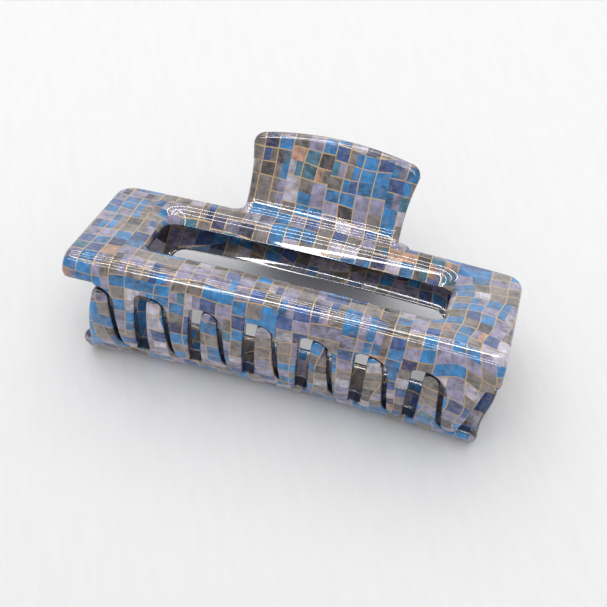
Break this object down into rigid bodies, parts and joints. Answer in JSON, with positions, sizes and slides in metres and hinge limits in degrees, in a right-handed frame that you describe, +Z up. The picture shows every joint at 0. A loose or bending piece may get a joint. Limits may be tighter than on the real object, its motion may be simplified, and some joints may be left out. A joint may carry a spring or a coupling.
{
  "type": "claw hair clip",
  "caption": "Rectangular claw clip for hair: two bent jaws with windows, interleaving teeth and wide pinch handles, closed by a torsion spring on a steel hinge pin.",
  "frame": {"origin": "on the surface it lies on, below the middle of the clip's bounding box", "axes": "+X along the hinge pin and the clip's length, +Y from the teeth to the handles, +Z up"},
  "size_m": [0.105, 0.0599, 0.0366],
  "materials": {
    "upper_jaw": "gloss lacquer over a mosaic film of blue, lilac, taupe and charcoal shell tiles with thin gold lines",
    "lower_jaw": "gloss lacquer over a mosaic film of blue, lilac, taupe and charcoal shell tiles with thin gold lines",
    "steel": "plain drawn steel",
    "spring_steel": "drawn spring wire"
  },
  "bodies": {
    "lower": {"lower_jaw": "lower_jaw", "hinge_pin": "steel", "torsion_spring": "spring_steel"},
    "upper": {"upper_jaw": "upper_jaw"}
  },
  "joints": [
    {"name": "jaw_hinge", "type": "hinge", "parent": "lower", "child": "upper", "pos_m": [0, 0.01538, 0.01817], "axis": [-1, 0, 0], "range_deg": [0, 86], "stiffness_Nm_per_rad": 0.18, "springref_deg": -45.84, "deforming": ["torsion_spring"]}
  ]
}
